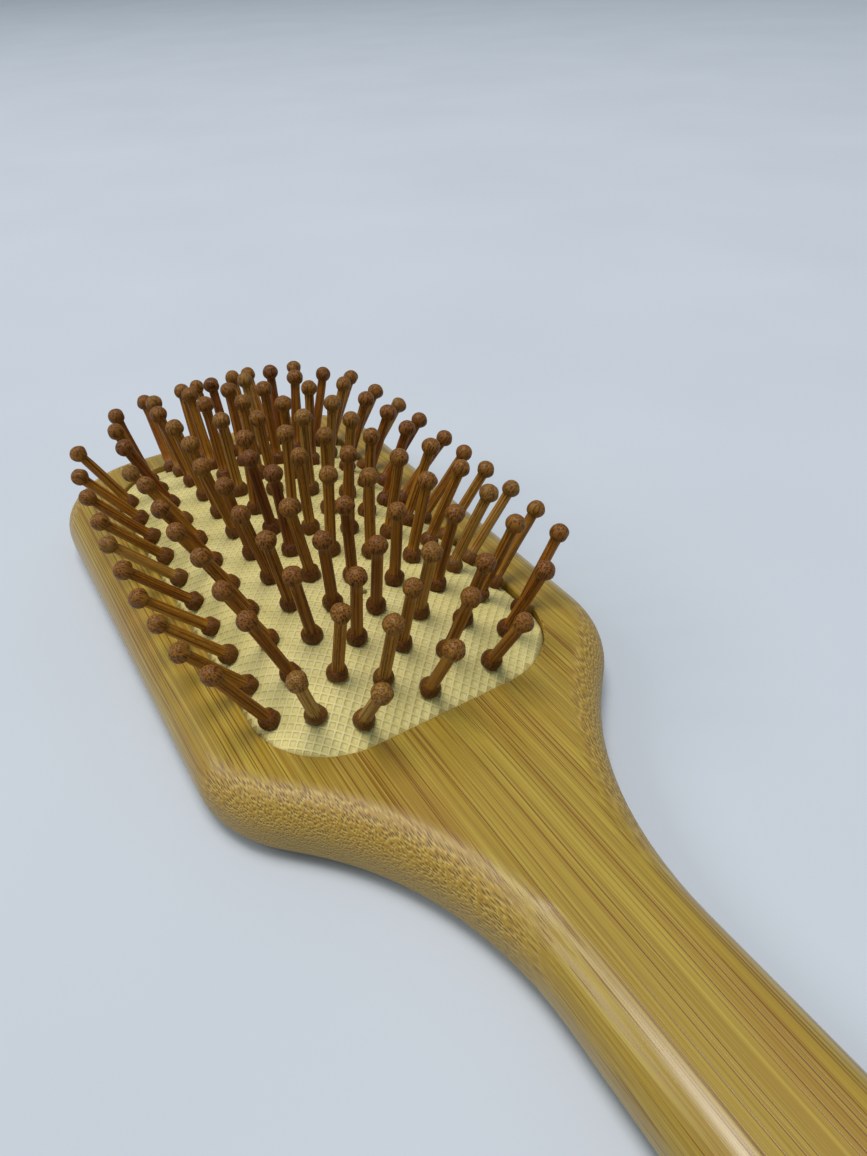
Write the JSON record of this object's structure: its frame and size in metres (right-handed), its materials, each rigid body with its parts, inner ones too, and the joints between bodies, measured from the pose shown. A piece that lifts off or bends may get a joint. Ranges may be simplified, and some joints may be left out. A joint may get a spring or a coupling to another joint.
{
  "type": "paddle brush",
  "caption": "Bamboo paddle hairbrush with ball-tipped wooden pins standing in a domed rubber air cushion that gives way when they are pressed.",
  "frame": {"origin": "middle of the brush's footprint, on the flat back of the paddle", "axes": "+Y along the brush from the handle to the head, +Z out of the cushion side, the way the pins point"},
  "size_m": [0.08, 0.245, 0.0405],
  "materials": {
    "bamboo": "satin lacquered bamboo, straight grain",
    "rubber": "matte natural rubber with an embossed grid",
    "carbonised_bamboo": "waxed carbonised bamboo"
  },
  "bodies": {
    "paddle": {"paddle": "bamboo", "air_cushion": "rubber"},
    "pins_column_0_row_1": {"pins_column_0_row_1": "carbonised_bamboo"},
    "pins_column_0_row_3": {"pins_column_0_row_3": "carbonised_bamboo"},
    "pins_column_0_row_5": {"pins_column_0_row_5": "carbonised_bamboo"},
    "pins_column_0_row_7": {"pins_column_0_row_7": "carbonised_bamboo"},
    "pins_column_0_row_9": {"pins_column_0_row_9": "carbonised_bamboo"},
    "pins_column_0_row_11": {"pins_column_0_row_11": "carbonised_bamboo"},
    "pins_column_1_row_0": {"pins_column_1_row_0": "carbonised_bamboo"},
    "pins_column_1_row_2": {"pins_column_1_row_2": "carbonised_bamboo"},
    "pins_column_1_row_4": {"pins_column_1_row_4": "carbonised_bamboo"},
    "pins_column_1_row_6": {"pins_column_1_row_6": "carbonised_bamboo"},
    "pins_column_1_row_8": {"pins_column_1_row_8": "carbonised_bamboo"},
    "pins_column_1_row_10": {"pins_column_1_row_10": "carbonised_bamboo"},
    "pins_column_2_row_1": {"pins_column_2_row_1": "carbonised_bamboo"},
    "pins_column_2_row_3": {"pins_column_2_row_3": "carbonised_bamboo"},
    "pins_column_2_row_5": {"pins_column_2_row_5": "carbonised_bamboo"},
    "pins_column_2_row_7": {"pins_column_2_row_7": "carbonised_bamboo"},
    "pins_column_2_row_9": {"pins_column_2_row_9": "carbonised_bamboo"},
    "pins_column_2_row_11": {"pins_column_2_row_11": "carbonised_bamboo"},
    "pins_column_3_row_0": {"pins_column_3_row_0": "carbonised_bamboo"},
    "pins_column_3_row_2": {"pins_column_3_row_2": "carbonised_bamboo"},
    "pins_column_3_row_4": {"pins_column_3_row_4": "carbonised_bamboo"},
    "pins_column_3_row_6": {"pins_column_3_row_6": "carbonised_bamboo"},
    "pins_column_3_row_8": {"pins_column_3_row_8": "carbonised_bamboo"},
    "pins_column_3_row_10": {"pins_column_3_row_10": "carbonised_bamboo"},
    "pins_column_4_row_1": {"pins_column_4_row_1": "carbonised_bamboo"},
    "pins_column_4_row_3": {"pins_column_4_row_3": "carbonised_bamboo"},
    "pins_column_4_row_5": {"pins_column_4_row_5": "carbonised_bamboo"},
    "pins_column_4_row_7": {"pins_column_4_row_7": "carbonised_bamboo"},
    "pins_column_4_row_9": {"pins_column_4_row_9": "carbonised_bamboo"}
  },
  "joints": [
    {"name": "cushion_press", "type": "slide", "parent": "paddle", "child": "pins_column_0_row_1", "axis": [0, 0, -1], "range_m": [0, 0.005], "stiffness_N_per_m": 20, "deforming": ["air_cushion"]},
    {"name": "press_column_0_row_3", "type": "slide", "parent": "paddle", "child": "pins_column_0_row_3", "axis": [0, 0, -1], "range_m": [0, 0.00495], "stiffness_N_per_m": 20},
    {"name": "press_column_0_row_5", "type": "slide", "parent": "paddle", "child": "pins_column_0_row_5", "axis": [0, 0, -1], "range_m": [0, 0.00471], "stiffness_N_per_m": 20},
    {"name": "press_column_0_row_7", "type": "slide", "parent": "paddle", "child": "pins_column_0_row_7", "axis": [0, 0, -1], "range_m": [0, 0.00414], "stiffness_N_per_m": 20},
    {"name": "press_column_0_row_9", "type": "slide", "parent": "paddle", "child": "pins_column_0_row_9", "axis": [0, 0, -1], "range_m": [0, 0.00307], "stiffness_N_per_m": 20},
    {"name": "press_column_0_row_11", "type": "slide", "parent": "paddle", "child": "pins_column_0_row_11", "axis": [0, 0, -1], "range_m": [0, 0.00133], "stiffness_N_per_m": 20},
    {"name": "press_column_1_row_0", "type": "slide", "parent": "paddle", "child": "pins_column_1_row_0", "axis": [0, 0, -1], "range_m": [0, 0.00496], "stiffness_N_per_m": 20},
    {"name": "press_column_1_row_2", "type": "slide", "parent": "paddle", "child": "pins_column_1_row_2", "axis": [0, 0, -1], "range_m": [0, 0.00494], "stiffness_N_per_m": 40},
    {"name": "press_column_1_row_4", "type": "slide", "parent": "paddle", "child": "pins_column_1_row_4", "axis": [0, 0, -1], "range_m": [0, 0.00481], "stiffness_N_per_m": 40},
    {"name": "press_column_1_row_6", "type": "slide", "parent": "paddle", "child": "pins_column_1_row_6", "axis": [0, 0, -1], "range_m": [0, 0.00443], "stiffness_N_per_m": 40},
    {"name": "press_column_1_row_8", "type": "slide", "parent": "paddle", "child": "pins_column_1_row_8", "axis": [0, 0, -1], "range_m": [0, 0.00364], "stiffness_N_per_m": 40},
    {"name": "press_column_1_row_10", "type": "slide", "parent": "paddle", "child": "pins_column_1_row_10", "axis": [0, 0, -1], "range_m": [0, 0.00227], "stiffness_N_per_m": 40},
    {"name": "press_column_2_row_1", "type": "slide", "parent": "paddle", "child": "pins_column_2_row_1", "axis": [0, 0, -1], "range_m": [0, 0.00458], "stiffness_N_per_m": 40},
    {"name": "press_column_2_row_3", "type": "slide", "parent": "paddle", "child": "pins_column_2_row_3", "axis": [0, 0, -1], "range_m": [0, 0.00453], "stiffness_N_per_m": 40},
    {"name": "press_column_2_row_5", "type": "slide", "parent": "paddle", "child": "pins_column_2_row_5", "axis": [0, 0, -1], "range_m": [0, 0.00432], "stiffness_N_per_m": 40},
    {"name": "press_column_2_row_7", "type": "slide", "parent": "paddle", "child": "pins_column_2_row_7", "axis": [0, 0, -1], "range_m": [0, 0.00379], "stiffness_N_per_m": 40},
    {"name": "press_column_2_row_9", "type": "slide", "parent": "paddle", "child": "pins_column_2_row_9", "axis": [0, 0, -1], "range_m": [0, 0.00281], "stiffness_N_per_m": 40},
    {"name": "press_column_2_row_11", "type": "slide", "parent": "paddle", "child": "pins_column_2_row_11", "axis": [0, 0, -1], "range_m": [0, 0.00122], "stiffness_N_per_m": 40},
    {"name": "press_column_3_row_0", "type": "slide", "parent": "paddle", "child": "pins_column_3_row_0", "axis": [0, 0, -1], "range_m": [0, 0.00356], "stiffness_N_per_m": 20},
    {"name": "press_column_3_row_2", "type": "slide", "parent": "paddle", "child": "pins_column_3_row_2", "axis": [0, 0, -1], "range_m": [0, 0.00355], "stiffness_N_per_m": 40},
    {"name": "press_column_3_row_4", "type": "slide", "parent": "paddle", "child": "pins_column_3_row_4", "axis": [0, 0, -1], "range_m": [0, 0.00346], "stiffness_N_per_m": 40},
    {"name": "press_column_3_row_6", "type": "slide", "parent": "paddle", "child": "pins_column_3_row_6", "axis": [0, 0, -1], "range_m": [0, 0.00318], "stiffness_N_per_m": 40},
    {"name": "press_column_3_row_8", "type": "slide", "parent": "paddle", "child": "pins_column_3_row_8", "axis": [0, 0, -1], "range_m": [0, 0.00261], "stiffness_N_per_m": 40},
    {"name": "press_column_3_row_10", "type": "slide", "parent": "paddle", "child": "pins_column_3_row_10", "axis": [0, 0, -1], "range_m": [0, 0.00163], "stiffness_N_per_m": 40},
    {"name": "press_column_4_row_1", "type": "slide", "parent": "paddle", "child": "pins_column_4_row_1", "axis": [0, 0, -1], "range_m": [0, 0.00152], "stiffness_N_per_m": 40},
    {"name": "press_column_4_row_3", "type": "slide", "parent": "paddle", "child": "pins_column_4_row_3", "axis": [0, 0, -1], "range_m": [0, 0.0015], "stiffness_N_per_m": 40},
    {"name": "press_column_4_row_5", "type": "slide", "parent": "paddle", "child": "pins_column_4_row_5", "axis": [0, 0, -1], "range_m": [0, 0.00143], "stiffness_N_per_m": 40},
    {"name": "press_column_4_row_7", "type": "slide", "parent": "paddle", "child": "pins_column_4_row_7", "axis": [0, 0, -1], "range_m": [0, 0.00126], "stiffness_N_per_m": 40},
    {"name": "press_column_4_row_9", "type": "slide", "parent": "paddle", "child": "pins_column_4_row_9", "axis": [0, 0, -1], "range_m": [0, 0.000933], "stiffness_N_per_m": 40}
  ],
  "couplings": [
    {"joint": "press_column_0_row_3", "follows": "cushion_press", "ratio": 0.9888},
    {"joint": "press_column_0_row_5", "follows": "cushion_press", "ratio": 0.9414},
    {"joint": "press_column_0_row_7", "follows": "cushion_press", "ratio": 0.8273},
    {"joint": "press_column_0_row_9", "follows": "cushion_press", "ratio": 0.6135},
    {"joint": "press_column_0_row_11", "follows": "cushion_press", "ratio": 0.2651},
    {"joint": "press_column_1_row_0", "follows": "cushion_press", "ratio": 0.9902},
    {"joint": "press_column_1_row_2", "follows": "cushion_press", "ratio": 0.9871},
    {"joint": "press_column_1_row_4", "follows": "cushion_press", "ratio": 0.9616},
    {"joint": "press_column_1_row_6", "follows": "cushion_press", "ratio": 0.8856},
    {"joint": "press_column_1_row_8", "follows": "cushion_press", "ratio": 0.7275},
    {"joint": "press_column_1_row_10", "follows": "cushion_press", "ratio": 0.4537},
    {"joint": "press_column_2_row_1", "follows": "cushion_press", "ratio": 0.9159},
    {"joint": "press_column_2_row_3", "follows": "cushion_press", "ratio": 0.9057},
    {"joint": "press_column_2_row_5", "follows": "cushion_press", "ratio": 0.8622},
    {"joint": "press_column_2_row_7", "follows": "cushion_press", "ratio": 0.7577},
    {"joint": "press_column_2_row_9", "follows": "cushion_press", "ratio": 0.5619},
    {"joint": "press_column_2_row_11", "follows": "cushion_press", "ratio": 0.2428},
    {"joint": "press_column_3_row_0", "follows": "cushion_press", "ratio": 0.7107},
    {"joint": "press_column_3_row_2", "follows": "cushion_press", "ratio": 0.7084},
    {"joint": "press_column_3_row_4", "follows": "cushion_press", "ratio": 0.6902},
    {"joint": "press_column_3_row_6", "follows": "cushion_press", "ratio": 0.6356},
    {"joint": "press_column_3_row_8", "follows": "cushion_press", "ratio": 0.5221},
    {"joint": "press_column_3_row_10", "follows": "cushion_press", "ratio": 0.3257},
    {"joint": "press_column_4_row_1", "follows": "cushion_press", "ratio": 0.3037},
    {"joint": "press_column_4_row_3", "follows": "cushion_press", "ratio": 0.3003},
    {"joint": "press_column_4_row_5", "follows": "cushion_press", "ratio": 0.2858},
    {"joint": "press_column_4_row_7", "follows": "cushion_press", "ratio": 0.2512},
    {"joint": "press_column_4_row_9", "follows": "cushion_press", "ratio": 0.1863}
  ]
}
